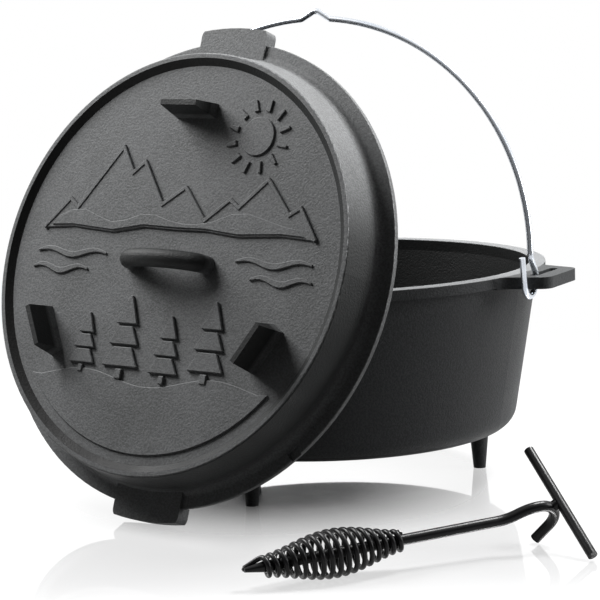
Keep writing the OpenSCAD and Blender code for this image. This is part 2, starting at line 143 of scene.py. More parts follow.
def linear(code):
    """Linear RGBA of an sRGB hex colour."""
    parts = [int(code[i:i + 2], 16) / 255 for i in (1, 3, 5)]
    return tuple(c / 12.92 if c <= 0.04045 else ((c + 0.055) / 1.055) ** 2.4 for c in parts) + (1.0,)


def put(tree, kind, settings=None, values=None, links=None):
    """Adds a node with its settings, socket values and links."""
    made = tree.nodes.new(kind)
    for name, value in (settings or {}).items():
        setattr(made, name, value)
    for name, value in (values or {}).items():
        made.inputs[name].default_value = value
    for name, source in (links or {}).items():
        tree.links.new(source, made.inputs[name])
    return made


def empty_tree(material):
    """Node tree of a new material with nothing in it."""
    material.use_nodes = True
    material.node_tree.nodes.clear()
    return material.node_tree


def length_prop(name, words, millimetres):
    """A length setting, in metres, whose default is written in millimetres."""
    return bpy.props.FloatProperty(name=name, description=words, default=millimetres * MM,
                                   min=0.0, unit="LENGTH", precision=5)


def colour_prop(name, words, code):
    """A colour setting whose default is an sRGB hex value."""
    return bpy.props.FloatVectorProperty(name=name, description=words, default=linear(code),
                                         size=4, min=0.0, max=1.0, subtype="COLOR")


class OvenSizes(bpy.types.PropertyGroup):
    """Sizes of the pieces that are modelled here"""

    bail_wire: length_prop("Bail wire", "Diameter of the bail's wire", 4.8)
    bail_peak: length_prop("Bail peak", "Height of the bail's peak over its hinge line", 208.952)
    grip_wire: length_prop("Grip wire", "Diameter of the spiral's wire", 3.7)
    grip_start: length_prop("Grip start", "Where the spiral starts, from the grip's middle to the hook", 50.8)
    grip_pitch: length_prop("Grip pitch", "Rise of one turn", 6.0657)
    grip_middle: length_prop("Grip middle", "Radius of the wire's middle at the swell", 15.15)
    grip_end: length_prop("Grip end", "Radius of the wire's middle where it meets the rod", 6.23097)
    grip_lead: length_prop("Grip lead", "Length of the run from the last turn to the point", 10.3)
    grip_tail: length_prop("Grip tail", "Straight wire at the point", 2.405)
    grip_turns: bpy.props.FloatProperty(name="Grip turns", description="Turns of the spiral",
                                        default=16.75, min=1.0)
    relief_height: length_prop("Relief height", "How far the lid's relief stands on its plate", 1.5)
    relief_chamfer: length_prop("Relief chamfer", "Chamfer of the relief's edges", 0.6)
    relief_root: length_prop("Relief root", "How far the relief reaches into the plate", 0.5)


class OvenColours(bpy.types.PropertyGroup):
    """Colours of the finishes"""

    pot_iron: colour_prop("Pot iron", "Baked oil film on the pot's iron", "#3e3f40")
    pot_iron_dark: colour_prop("Pot iron, dark", "Thicker film in the pot's grain", "#2c2d2e")
    lid_iron: colour_prop("Lid iron", "Baked oil film on the lid's iron", "#727374")
    lid_iron_dark: colour_prop("Lid iron, dark", "Thicker film in the lid's grain", "#565757")
    # Painted shade: the pot's inside is drawn near black, standing in for the shade that falls in it
    pot_inside_painted_shade: colour_prop("Pot inside", "Film that soaked in on the pot's inside", "#0a0b0b")
    # Painted highlight: the land round the pot's mouth is drawn lighter, standing in for the top light that
    # it catches
    pot_land_painted_highlight: colour_prop("Pot land", "Thin film on the land that the lid rubs bright", "#6a6b6c")
    # Painted shade: the lid's handle, feet and tray slope are drawn darker, standing in for the shade on them
    lid_raised_painted_shade: colour_prop("Lid handle", "Film that soaked in on the lid's handle, feet and tray slope",
                            "#252626")
    # Painted shade: the left of the tray's slope is drawn near black, standing in for the shade there
    lid_groove_painted_shade: colour_prop("Lid groove", "Film that pooled at the left of the lid's tray", "#080808")
    # Painted shade: the lid's outer wall is drawn darker low down, standing in for the shade below its
    # highlight
    lid_wall_painted_shade: colour_prop("Lid wall", "Film that ran together low on the lid's outer wall", "#343535")
    zinc: colour_prop("Zinc", "Bright plating of the bail's wire", "#e8ecf2")
    zinc_dull: colour_prop("Zinc, dull", "Passivated patches of the plating", "#ccd2da")
    lacquer: colour_prop("Lacquer", "Black lacquer of the lid lifter", "#070708")
    lacquer_thin: colour_prop("Lacquer, thin", "Lacquer where it ran thin", "#0f0f11")
    floor: colour_prop("Floor", "Gloss white floor sheet", "#f2f2f3")
    floor_cards: colour_prop("Floor cards", "Dark cards that hold down the floor's glow", "#3c3c3c")


def about_axis(tree, place):
    """Distance from the pot's axis, and height over the ground."""
    flat = put(tree, "ShaderNodeVectorMath", {"operation": "MULTIPLY"}, {1: (1.0, 1.0, 0.0)}, {0: place})
    radius = put(tree, "ShaderNodeVectorMath", {"operation": "LENGTH"}, links={0: flat.outputs["Vector"]})
    height = put(tree, "ShaderNodeSeparateXYZ", links={"Vector": place})
    return radius.outputs["Value"], height.outputs["Z"]


def pot_inside(tree, place):
    """1 on the pot's inner side, where shade is painted: nearer to the axis than its wall, and over its
    floor.
    """
    radius, height = about_axis(tree, place)
    wall = put(tree, "ShaderNodeMath", {"operation": "MULTIPLY_ADD"}, {1: POT_FLARE, 2: POT_FOOT_R},
               {0: height})
    side = put(tree, "ShaderNodeMath", {"operation": "MINIMUM"}, {1: POT_MOUTH_R}, {0: wall.outputs[0]})
    within = put(tree, "ShaderNodeMath", {"operation": "LESS_THAN"}, links={0: radius, 1: side.outputs[0]})
    over = put(tree, "ShaderNodeMath", {"operation": "GREATER_THAN"}, {1: POT_FLOOR}, {0: height})
    return put(tree, "ShaderNodeMath", {"operation": "MULTIPLY"},
               links={0: within.outputs[0], 1: over.outputs[0]}).outputs[0]


def pot_land_painted_highlight(tree, place):
    """1 on the land round the pot's mouth, where a highlight is painted, but not on the ears beside it."""
    radius, height = about_axis(tree, place)
    within = put(tree, "ShaderNodeMath", {"operation": "LESS_THAN"}, {1: POT_RIM_R}, {0: radius})
    top = put(tree, "ShaderNodeMath", {"operation": "GREATER_THAN"}, {1: POT_RIM_TOP - POT_LAND_REACH},
              {0: height})
    return put(tree, "ShaderNodeMath", {"operation": "MULTIPLY"},
               links={0: within.outputs[0], 1: top.outputs[0]}).outputs[0]


def in_lid(tree, place):
    """Distance from the lid's axis, height over its flange, and place up and across its plate."""
    spot = put(tree, "ShaderNodeVectorMath", {"operation": "SUBTRACT"}, {1: LID_CENTRE},
               {0: place}).outputs["Vector"]
    aside = put(tree, "ShaderNodeVectorMath", {"operation": "CROSS_PRODUCT"}, {1: LID_OUT}, {0: spot})
    radius = put(tree, "ShaderNodeVectorMath", {"operation": "LENGTH"}, links={0: aside.outputs["Vector"]})
    along = [put(tree, "ShaderNodeVectorMath", {"operation": "DOT_PRODUCT"}, {1: axis}, {0: spot})
             for axis in (LID_OUT, LID_UP, LID_ACROSS)]
    return [made.outputs["Value"] for made in (radius, *along)]


def lid_slope(tree, radius, height):
    """1 on the slope from the raised rim down to the tray's plate."""
    slope = put(tree, "ShaderNodeMath", {"operation": "COMPARE"}, {1: LID_SLOPE_R, 2: LID_SLOPE_HALF},
                {0: radius})
    front = put(tree, "ShaderNodeMath", {"operation": "GREATER_THAN"}, {1: LID_PLATE - LID_SLOPE_REACH},
                {0: height})
    return put(tree, "ShaderNodeMath", {"operation": "MULTIPLY"},
               links={0: slope.outputs[0], 1: front.outputs[0]}).outputs[0]


def lid_groove(tree, place):
    """1 on the left of the slope round the lid's tray, where shade is painted."""
    radius, height, _, across = in_lid(tree, place)
    left = put(tree, "ShaderNodeMapRange", {"interpolation_type": "SMOOTHSTEP"},
               {"From Min": GROOVE_SHADE_ACROSS[0], "From Max": GROOVE_SHADE_ACROSS[1], "To Min": 1.0, "To Max": 0.0},
               {"Value": across})
    return put(tree, "ShaderNodeMath", {"operation": "MULTIPLY"},
               links={0: lid_slope(tree, radius, height), 1: left.outputs["Result"]}).outputs[0]


def lid_wall_painted_shade(tree, place):
    """1 on the lower half of the lid's outer wall, where shade is painted: darker towards the bottom."""
    radius, height, up, _ = in_lid(tree, place)
    wall = put(tree, "ShaderNodeMath", {"operation": "GREATER_THAN"}, {1: LID_WALL_R}, {0: radius})
    foot = put(tree, "ShaderNodeMapRange",
               values={"From Min": WALL_SHADE_FROM_FLANGE[0], "From Max": WALL_SHADE_FROM_FLANGE[1]},
               links={"Value": height})
    low = put(tree, "ShaderNodeMapRange", {"interpolation_type": "SMOOTHSTEP"},
              {"From Min": WALL_SHADE_UP[0], "From Max": WALL_SHADE_UP[1], "To Min": 1.0, "To Max": 0.0}, {"Value": up})
    side = put(tree, "ShaderNodeMath", {"operation": "MULTIPLY"},
               links={0: wall.outputs[0], 1: foot.outputs["Result"]})
    return put(tree, "ShaderNodeMath", {"operation": "MULTIPLY"},
               links={0: side.outputs[0], 1: low.outputs["Result"]}).outputs[0]


def lid_raised(tree, place):
    """1 where shade is painted on the lid's handle and feet, which stand over its rim, and on the slope round
    its tray.
    """
    radius, height, _, _ = in_lid(tree, place)
    raised = put(tree, "ShaderNodeMapRange",
                 values={"From Min": LID_RIM + RAISED_SHADE_FROM_RIM[0], "From Max": LID_RIM + RAISED_SHADE_FROM_RIM[1]},
                 links={"Value": height})
    return put(tree, "ShaderNodeMath", {"operation": "MAXIMUM"},
               links={0: raised.outputs["Result"], 1: lid_slope(tree, radius, height)}).outputs[0]


def sand_cast_iron(name, film, film_dark, rough, painted_light):
    """Grey iron from a sand mould with oil baked on.

    The eye sees a dark satin skin, a fine grain from the sand, soft cloudy patches where the oil ran, and
    painted
    shade and painted highlights in places: each of these is a colour and the function that says where it
    lies.
    """
    # Mould sand is about 0.4 mm; it is drawn four times as coarse so that it shows at this distance
    grain = 1 / (1.6 * MM)
    # Orange-peel waves of a rammed mould, and clouds in the baked film
    waves = 1 / (4.0 * MM)
    clouds = 1 / (38.0 * MM)
    # Share of the clouds in the film's tone; the rest is grain
    cloudy = 0.45
    material = bpy.data.materials.new(name)
    tree = empty_tree(material)
    place = put(tree, "ShaderNodeTexCoord").outputs["Object"]
    sand = put(tree, "ShaderNodeTexNoise", values={"Scale": grain, "Detail": 3.0, "Roughness": 0.6},
               links={"Vector": place})
    peel = put(tree, "ShaderNodeTexNoise", values={"Scale": waves, "Detail": 2.0, "Roughness": 0.5},
               links={"Vector": place})
    cloud = put(tree, "ShaderNodeTexNoise", values={"Scale": clouds, "Detail": 4.0, "Roughness": 0.55},
                links={"Vector": place})
    speck = put(tree, "ShaderNodeMapRange", values={"From Min": 0.42, "From Max": 0.58},
                links={"Value": sand.outputs["Fac"]})
    patch = put(tree, "ShaderNodeMapRange", values={"From Min": 0.3, "From Max": 0.7},
                links={"Value": cloud.outputs["Fac"]})
    both = put(tree, "ShaderNodeMix", values={0: cloudy},
               links={NUMBER_A: speck.outputs["Result"], NUMBER_B: patch.outputs["Result"]})
    skin_colour = put(tree, "ShaderNodeMix", {"data_type": "RGBA"}, {COLOUR_A: film_dark, COLOUR_B: film},
                      {0: both.outputs[0]})
    for tone, where in painted_light:
        skin_colour = put(tree, "ShaderNodeMix", {"data_type": "RGBA"}, {COLOUR_B: tone},
                          {0: where(tree, place), COLOUR_A: skin_colour.outputs[COLOUR_OUT]})
    satin = put(tree, "ShaderNodeMapRange",
                values={"To Min": rough - ROUGH_BELOW, "To Max": rough + ROUGH_ABOVE},
                links={"Value": patch.outputs["Result"]})
    swell = put(tree, "ShaderNodeBump", values={"Strength": 0.35, "Distance": 0.25 * MM},
                links={"Height": peel.outputs["Fac"]})
    grit = put(tree, "ShaderNodeBump", values={"Strength": 1.0, "Distance": 0.4 * MM},
               links={"Height": sand.outputs["Fac"], "Normal": swell.outputs["Normal"]})
    skin = put(tree, "ShaderNodeBsdfPrincipled",
               values={"Metallic": 0.0, "IOR": 1.47, "Specular IOR Level": 0.15},
               links={"Base Color": skin_colour.outputs[COLOUR_OUT], "Roughness": satin.outputs["Result"],
                      "Normal": grit.outputs["Normal"]})
    put(tree, "ShaderNodeOutputMaterial", links={"Surface": skin.outputs["BSDF"]})
    return material


def zinc_plated_wire(name, bright, dull):
    """Drawn steel wire with bright zinc plating.

    The eye sees a light mirror-like metal with faint draw lines and slightly duller patches.
    """
    # Draw lines are about 0.05 mm apart; drawn at 3 mm so that they show
    lines = 1 / (3.0 * MM)
    patches = 1 / (25.0 * MM)
    material = bpy.data.materials.new(name)
    tree = empty_tree(material)
    place = put(tree, "ShaderNodeTexCoord").outputs["Object"]
    drawn = put(tree, "ShaderNodeTexNoise", values={"Scale": lines, "Detail": 2.0}, links={"Vector": place})
    bloom = put(tree, "ShaderNodeTexNoise", values={"Scale": patches, "Detail": 3.0}, links={"Vector": place})
    patch = put(tree, "ShaderNodeMapRange", values={"From Min": 0.35, "From Max": 0.65},
                links={"Value": bloom.outputs["Fac"]})
    colour = put(tree, "ShaderNodeMix", {"data_type": "RGBA"}, {COLOUR_A: bright, COLOUR_B: dull},
                 {0: patch.outputs["Result"]})
    gloss = put(tree, "ShaderNodeMapRange", values={"To Min": 0.2, "To Max": 0.28},
                links={"Value": patch.outputs["Result"]})
    groove = put(tree, "ShaderNodeBump", values={"Strength": 0.02, "Distance": 0.02 * MM},
                 links={"Height": drawn.outputs["Fac"]})
    metal = put(tree, "ShaderNodeBsdfPrincipled", values={"Metallic": 1.0},
                links={"Base Color": colour.outputs[COLOUR_OUT], "Roughness": gloss.outputs["Result"],
                       "Normal": groove.outputs["Normal"]})
    put(tree, "ShaderNodeOutputMaterial", links={"Surface": metal.outputs["BSDF"]})
    return material


def black_lacquered_steel(name, black, thin):
    """Steel bar dipped in black stoving lacquer.

    The eye sees a deep black with clear highlights, gently rippled where the lacquer ran.
    """
    # Ripples of a dipped coat, and thinner spots on its way down
    ripple = 1 / (5.0 * MM)
    spots = 1 / (14.0 * MM)
    material = bpy.data.materials.new(name)
    tree = empty_tree(material)
    place = put(tree, "ShaderNodeTexCoord").outputs["Object"]
    run = put(tree, "ShaderNodeTexNoise", values={"Scale": ripple, "Detail": 2.0}, links={"Vector": place})
    spot = put(tree, "ShaderNodeTexNoise", values={"Scale": spots, "Detail": 3.0}, links={"Vector": place})
    cover = put(tree, "ShaderNodeMapRange", values={"From Min": 0.4, "From Max": 0.7},
                links={"Value": spot.outputs["Fac"]})
    colour = put(tree, "ShaderNodeMix", {"data_type": "RGBA"}, {COLOUR_A: black, COLOUR_B: thin},
                 {0: cover.outputs["Result"]})
    gloss = put(tree, "ShaderNodeMapRange", values={"To Min": 0.28, "To Max": 0.4},
                links={"Value": cover.outputs["Result"]})
    wave = put(tree, "ShaderNodeBump", values={"Strength": 0.12, "Distance": 0.1 * MM},
               links={"Height": run.outputs["Fac"]})
    coat = put(tree, "ShaderNodeBsdfPrincipled",
               values={"Metallic": 0.0, "IOR": 1.5, "Specular IOR Level": 0.18},
               links={"Base Color": colour.outputs[COLOUR_OUT], "Roughness": gloss.outputs["Result"],
                      "Normal": wave.outputs["Normal"]})
    put(tree, "ShaderNodeOutputMaterial", links={"Surface": coat.outputs["BSDF"]})
    return material


def dress(node_name, material):
    """Gives a solid of the frame its finish."""
    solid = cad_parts[node_name]
    if not solid.material_slots:
        solid.data.materials.append(material)
    for slot in solid.material_slots:
        slot.material = material


def lone(piece):
    """Deselects all and selects one piece."""
    bpy.ops.object.select_all(action="DESELECT")
    piece.select_set(True)
    bpy.context.view_layer.objects.active = piece


def curve_object(name, strokes, flat=False):
    """A curve object from lists of points; flat ones are closed outlines."""
    curve = bpy.data.curves.new(name, "CURVE")
    curve.dimensions = "2D" if flat else "3D"
    for points in strokes:
        spline = curve.splines.new("POLY")
        spline.points.add(len(points) - 1)
        for place, point in zip(spline.points, points):
            place.co = (*point, 0.0, 1.0) if flat else (*point, 1.0)
        spline.use_cyclic_u = flat
    piece = bpy.data.objects.new(name, curve)
    bpy.context.scene.collection.objects.link(piece)
    return piece


def clean():
    """Merges the active mesh's doubles and turns its faces outward."""
    bpy.ops.object.mode_set(mode="EDIT")
    bpy.ops.mesh.select_all(action="SELECT")
    bpy.ops.mesh.remove_doubles(threshold=MERGE)
    bpy.ops.mesh.dissolve_degenerate(threshold=MERGE)
    bpy.ops.mesh.normals_make_consistent(inside=False)
    bpy.ops.object.mode_set(mode="OBJECT")


def to_mesh(piece, place):
    """Turns a curve into a clean mesh and puts its place into the mesh."""
    lone(piece)
    bpy.ops.object.convert(target="MESH")
    piece = bpy.context.view_layer.objects.active
    piece.matrix_world = place
    bpy.ops.object.transform_apply(location=True, rotation=True, scale=True)
    clean()
    return piece


def round_wire(name, path, diameter, place):
    """A mesh of round wire along a path, with closed ends."""
    wire = curve_object(name, [path])
    wire.data.bevel_depth = diameter / 2
    wire.data.bevel_resolution = WIRE_RESOLUTION
    wire.data.use_fill_caps = True
    wire = to_mesh(wire, place)
    bpy.ops.object.shade_smooth_by_angle(angle=WIRE_SMOOTH)
    return wire


class OVEN_OT_pot(bpy.types.Operator):
    """Dress the pot in seasoned sand-cast iron"""

    bl_idname = "oven.pot"
    bl_label = "Pot"

    def execute(self, context):
        colours = context.scene.oven_colours
        # Painted shade inside the pot, and a painted highlight on the land round its mouth
        painted_light = ((colours.pot_inside_painted_shade, pot_inside), (colours.pot_land_painted_highlight, pot_land_painted_highlight))
        dress("pot", sand_cast_iron("seasoned_cast_iron_pot", colours.pot_iron, colours.pot_iron_dark,
                                    POT_ROUGH, painted_light))
        return {"FINISHED"}


class OVEN_OT_lid(bpy.types.Operator):
    """Dress the lid in seasoned sand-cast iron"""

    bl_idname = "oven.lid"
    bl_label = "Lid"

    def execute(self, context):
        colours = context.scene.oven_colours
        # Painted shade on the lid's handle, feet and tray slope, low on its outer wall, and at the left of
        # its tray
        painted_light = ((colours.lid_raised_painted_shade, lid_raised), (colours.lid_wall_painted_shade, lid_wall_painted_shade),
                 (colours.lid_groove_painted_shade, lid_groove))
        dress("lid", sand_cast_iron("seasoned_cast_iron_lid", colours.lid_iron, colours.lid_iron_dark,
                                    LID_ROUGH, painted_light))
        return {"FINISHED"}


class OVEN_OT_bail(bpy.types.Operator):
    """Bend the bail from hook to hook out of one zinc-plated wire"""

    bl_idname = "oven.bail"
    bl_label = "Bail"

    # Half of the wire, from beside its peak to a hook's end. Each stretch is a bend's radius in mm, its turn
    # and its heading round the wire in degrees, and the straight in mm that follows
    HALF = ((5.0, 30.0, 0.0, 10.2672), (5.0, 25.5425, 180.0, 1.0), (193.0, 81.2338, 0.0, 1.0),
            (6.0, 4.3087, 0.0, 1.0), (6.0, 40.0, 94.614, 12.1362), (6.0, 40.0, 274.614, 5.0417),
            (10.5741, 161.0, -90.0, 22.5))
    BESIDE_PEAK = 0.5 * MM
    # Degrees of bend in one step along the path, and the fewest steps of a bend
    DEGREES_A_STEP = 1.5
    FEWEST_STEPS = 4

    def half(self, sizes):
        """Middle line of half the wire, about the hinge line."""
        peak = Matrix.Translation((self.BESIDE_PEAK, 0, sizes.bail_peak))
        at = peak @ Matrix.Rotation(math.radians(90), 4, "Y")
        points = [at.translation.copy()]
        for radius, turn, heading, straight in self.HALF:
            spin = Matrix.Rotation(math.radians(heading), 4, "Z")
            arm = Matrix.Translation((radius * MM, 0, 0))
            count = max(self.FEWEST_STEPS, round(turn / self.DEGREES_A_STEP))
            for i in range(1, count + 1):
                swung = Matrix.Rotation(math.radians(turn * i / count), 4, "Y")
                end = at @ spin @ arm @ swung @ arm.inverted()
                points.append(end.translation.copy())
            at = end @ spin.inverted() @ Matrix.Translation((0, 0, straight * MM))
            points.append(at.translation.copy())
        return points

    def execute(self, context):
        sizes, colours = context.scene.oven_sizes, context.scene.oven_colours
        right = self.half(sizes)
        left = [Vector((-point.x, point.y, point.z)) for point in reversed(right)]
        place = Matrix.Translation(BAIL_HINGE) @ Matrix.Rotation(BAIL_LEAN, 4, "X")
        wire = round_wire("bail_wire", left + right, sizes.bail_wire, place)
        zinc = zinc_plated_wire("zinc_plated_drawn_wire", colours.zinc, colours.zinc_dull)
        wire.data.materials.append(zinc)
        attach(wire, "bail")
        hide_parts("bail")
        return {"FINISHED"}


class OVEN_OT_lifter(bpy.types.Operator):
    """Dress the lid lifter's rod, crossbar and welds in black lacquer"""

    bl_idname = "oven.lifter"
    bl_label = "Lid lifter"

    def execute(self, context):
        colours = context.scene.oven_colours
        lacquer = black_lacquered_steel("black_lacquered_steel", colours.lacquer, colours.lacquer_thin)
        for node_name in ("lifter_rod", "lifter_crossbar", "crossbar_weld", "coil_welds"):
            dress(node_name, lacquer)
        return {"FINISHED"}


class OVEN_OT_grip(bpy.types.Operator):
    """Wind the grip's wire round the rod in a smooth swelling spiral"""

    bl_idname = "oven.grip"
    bl_label = "Grip spiral"

    # Steps in one turn
    STEPS = 44
    # In degrees: where the swell starts round the rod, how far before it the wire starts, and the lead's turn
    PHASE = -20.0
    START_TURN = -34.543
    LEAD_TURN = 90.0
    # Power of the swell's sine, and the lead's loss of radius with its length
    SWELL = 1.6
    TAPER = 0.191564

    def wire_point(self, sizes, turned):
        """Middle of the wire after so many degrees."""
        whole = 360 * sizes.grip_turns
        lead = max(0.0, (turned - whole) / self.LEAD_TURN)
        lead_x = sizes.grip_lead * lead ** 2
        along = sizes.grip_start - sizes.grip_pitch * min(turned, whole) / 360 - lead_x
        if turned <= 0:
            radius = sizes.grip_end
        elif turned < whole:
            swell = math.sin(math.pi * turned / whole) ** self.SWELL
            radius = sizes.grip_end + (sizes.grip_middle - sizes.grip_end) * swell
        else:
            radius = sizes.grip_end - self.TAPER * lead_x
        angle = math.radians(self.PHASE - turned)
        return Vector((along, radius * math.cos(angle), radius * math.sin(angle)))

    def execute(self, context):
        sizes = context.scene.oven_sizes
        last = 360 * sizes.grip_turns + self.LEAD_TURN
        count = round((last - self.START_TURN) / 360 * self.STEPS)
        turns = [self.START_TURN + (last - self.START_TURN) * i / count for i in range(count + 1)]
        path = [self.wire_point(sizes, turned) for turned in turns]
        heading = (path[-1] - path[-2]).normalized()
        path.append(path[-1] + heading * sizes.grip_tail)
        place = (Matrix.Translation(LIFTER_PLACE) @ Matrix.Rotation(LIFTER_TURN, 4, "Z")
                 @ Matrix.Rotation(LIFTER_PITCH, 4, "Y") @ Matrix.Rotation(LIFTER_ROLL, 4, "X"))
        spiral = round_wire("grip_spiral", path, sizes.grip_wire, place)
        spiral.data.materials.append(bpy.data.materials["black_lacquered_steel"])
        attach(spiral, "lifter")
        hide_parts("grip_coil")
        return {"FINISHED"}


def pine(foot, height):
    """Outlines of a pine tree: a trunk and three tiers."""
    x, y = foot
    # Half width and height of each one's foot, then of its top, as parts of the tree's height
    trunk_and_tiers = ((0.05, 0.0, 0.05, 0.12), (0.27, 0.15, 0.14, 0.38), (0.22, 0.41, 0.10, 0.63),
                       (0.16, 0.66, 0.02, 1.0))
    return [[(x - wide * height, y + low * height), (x + wide * height, y + low * height),
             (x + narrow * height, y + top * height), (x - narrow * height, y + top * height)]
            for wide, low, narrow, top in trunk_and_tiers]


def ripple(start, end, y, width):
    """Outline of a lake ripple: a slim stroke with narrow ends."""
    # Steps along it, its rise and fall in mm, its number of waves, and where in a half sine its ends are cut
    steps, swing, waves, cut = 24, 2.2, 1.5, 0.12
    top, low = [], []
    for i in range(steps + 1):
        t = i / steps
        x = start + (end - start) * t
        wave = swing * math.sin(2 * math.pi * t * waves)
        thick = width / 2 * math.sin(math.pi * (cut + (1 - 2 * cut) * t))
        top.append((x, y + wave + thick))
        low.append((x, y + wave - thick))
    return low + top[::-1]


def rib(points, width):
    """Outline of an even stroke along a line, mitred at its corners."""
    # Least cosine of half a corner's turn, so that no mitre grows long
    least = 0.5
    line = [Vector(point) for point in points]
    one_side, other_side = [], []
    for i, point in enumerate(line):
        before = (point - line[i - 1]).normalized() if i else (line[1] - line[0]).normalized()
        after = (line[i + 1] - point).normalized() if i + 1 < len(line) else before
        along = (before + after).normalized()
        across = Vector((-along.y, along.x)) * (width / 2 / max(least, along.dot(before)))
        one_side.append(tuple(point + across))
        other_side.append(tuple(point - across))
    return one_side + other_side[::-1]


def ring(centre, radius, count=48):
    """Outline of a disc."""
    return [(centre[0] + radius * math.cos(2 * math.pi * i / count),
             centre[1] + radius * math.sin(2 * math.pi * i / count)) for i in range(count)]


def ray(centre, angle, inner, outer, wide):
    """Outline of one sun ray, which tapers to half its width."""
    out = Vector((math.cos(angle), math.sin(angle)))
    side = Vector((-out.y, out.x))
    start = Vector(centre) + out * inner
    tip = Vector(centre) + out * outer
    foot, end = side * wide, side * wide / 2
    return [tuple(corner) for corner in (start - foot, tip - end, tip + end, start + foot)]


class OVEN_OT_relief(bpy.types.Operator):
    """Raise a plain landscape on the lid's plate: mountains, hills, pines, lake ripples and a sun"""

    bl_idname = "oven.relief"
    bl_label = "Lid relief"

    # Outlines in mm, across and up the plate from the lid's middle: the mountains' ridge and foot, the hills
    RIDGE = ((-130, 22), (-108, 46), (-99, 39), (-64, 88), (-50, 68), (-40, 77), (-16, 44), (4, 58),
             (27, 33), (48, 50), (57, 44), (80, 66), (104, 40), (113, 46), (131, 22))
    RIDGE_FOOT = ((100, 24), (60, 22), (30, 25), (0, 25), (-30, 26), (-60, 21), (-100, 24))
    HILLS = ((-122, 24.4), (-116, 32), (-104, 37), (-90, 38), (-76, 33), (-62, 29), (-48, 31), (-34, 36),
             (-20, 36), (-6, 32), (8, 30), (22, 30), (36, 33), (52, 39), (68, 40), (84, 36), (100, 32),
             (112, 30), (122, 24.2))
    # Width of the rib along the ridge, and how far the hills' foot stays inside the ridge's
    RIB_WIDTH = 3.2
    HILLS_IN = 1.5
    # Sun's middle and radius; its rays' number, first angle in degrees, start, end and half width
    SUN = (62, 99)
    SUN_R = 15
    RAYS = 12
    RAY_FIRST = 15
    RAY_START, RAY_END, RAY_HALF = 19.5, 29, 2.4
    # Foot and height of each pine; start, end and height of each lake ripple, and their width
    PINES = (((-66, -88), 46), ((-28, -91), 64), ((14, -92), 52), ((53, -89), 62))
    RIPPLES = ((-132, -62, 4), (-134, -78, -9), (62, 132, 4), (78, 134, -9))
    RIPPLE_WIDTH = 5.0
    # Ground's edge: its radius, half its arc in degrees, and its steps
    GROUND_EDGE = 146
    GROUND_SPAN = 51
    GROUND_STEPS = 32
    # Ground's crest: its height, its swing, the length of a radian of its wave, its ends, and its step across
    CREST, CREST_SWING, CREST_LENGTH = -90, 5, 20
    CREST_ENDS, CREST_STEP = (-104, 108), 4
    # Heights of the rib, and of hills and pines, as parts of the relief's height
    RIB_RISE = 1.5
    HIGH_RISE = 1.7
    # Angles between faces: under the first they are joined, over the second their edge is chamfered, and
    # under the third it is shaded smooth
    FLAT = math.radians(1)
    SHARP = math.radians(60)
    SMOOTH = math.radians(12)

    def ground(self):
        """Ground that the pines stand on, from a soft crest to the plate's edge."""
        span, steps = self.GROUND_SPAN, self.GROUND_STEPS
        angles = [math.radians(-90 + span - 2 * span * i / steps) for i in range(steps + 1)]
        edge = [(self.GROUND_EDGE * math.cos(angle), self.GROUND_EDGE * math.sin(angle)) for angle in angles]
        crest = [(x, self.CREST - self.CREST_SWING * math.cos(x / self.CREST_LENGTH))
                 for x in range(*self.CREST_ENDS, self.CREST_STEP)]
        return crest + edge

    def execute(self, context):
        sizes = context.scene.oven_sizes
        low = [list(self.RIDGE) + list(self.RIDGE_FOOT), self.ground(), ring(self.SUN, self.SUN_R)]
        for i in range(self.RAYS):
            angle = math.radians(360 / self.RAYS * i + self.RAY_FIRST)
            low.append(ray(self.SUN, angle, self.RAY_START, self.RAY_END, self.RAY_HALF))
        low += [ripple(start, end, y, self.RIPPLE_WIDTH) for start, end, y in self.RIPPLES]
        hills_foot = [(x, y + self.HILLS_IN) for x, y in self.RIDGE_FOOT]
        high = [list(self.HILLS) + hills_foot]
        for foot, height in self.PINES:
            high += pine(foot, height)
        ribs = [rib(self.RIDGE, self.RIB_WIDTH)]
        turn = Matrix((LID_ACROSS, LID_UP, LID_OUT)).transposed().to_4x4()
        layers = []
        for name, outlines, height in (("lid_relief", low, sizes.relief_height),
                                       ("lid_relief_ribs", ribs, self.RIB_RISE * sizes.relief_height),
                                       ("lid_relief_high", high, self.HIGH_RISE * sizes.relief_height)):
            strokes = [[(x * MM, y * MM) for x, y in outline] for outline in outlines]
            layer = curve_object(name, strokes, flat=True)
            thick = height + sizes.relief_root
            layer.data.fill_mode = "BOTH"
            layer.data.extrude = thick / 2
            middle = LID_CENTRE + LID_OUT * (LID_PLATE + height - thick / 2)
            layer = to_mesh(layer, Matrix.Translation(middle) @ turn)
            # Whole caps instead of the fill's triangles, so that the chamfer runs cleanly round each outline
            bpy.ops.object.mode_set(mode="EDIT")
            bpy.ops.mesh.dissolve_limited(angle_limit=self.FLAT)
            bpy.ops.object.mode_set(mode="OBJECT")
            edge = layer.modifiers.new("cast_edge", "BEVEL")
            edge.width, edge.segments = sizes.relief_chamfer, 1
            edge.limit_method, edge.angle_limit = "ANGLE", self.SHARP
            edge.use_clamp_overlap = False
            bpy.ops.object.modifier_apply(modifier=edge.name)
            clean()
            layers.append(layer)
        lone(layers[0])
        for layer in layers[1:]:
            layer.select_set(True)
        bpy.ops.object.join()
        relief = bpy.context.view_layer.objects.active
        bpy.ops.object.shade_smooth_by_angle(angle=self.SMOOTH)
        relief.data.materials.append(bpy.data.materials["seasoned_cast_iron_lid"])
        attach(relief, "lid")
        return {"FINISHED"}


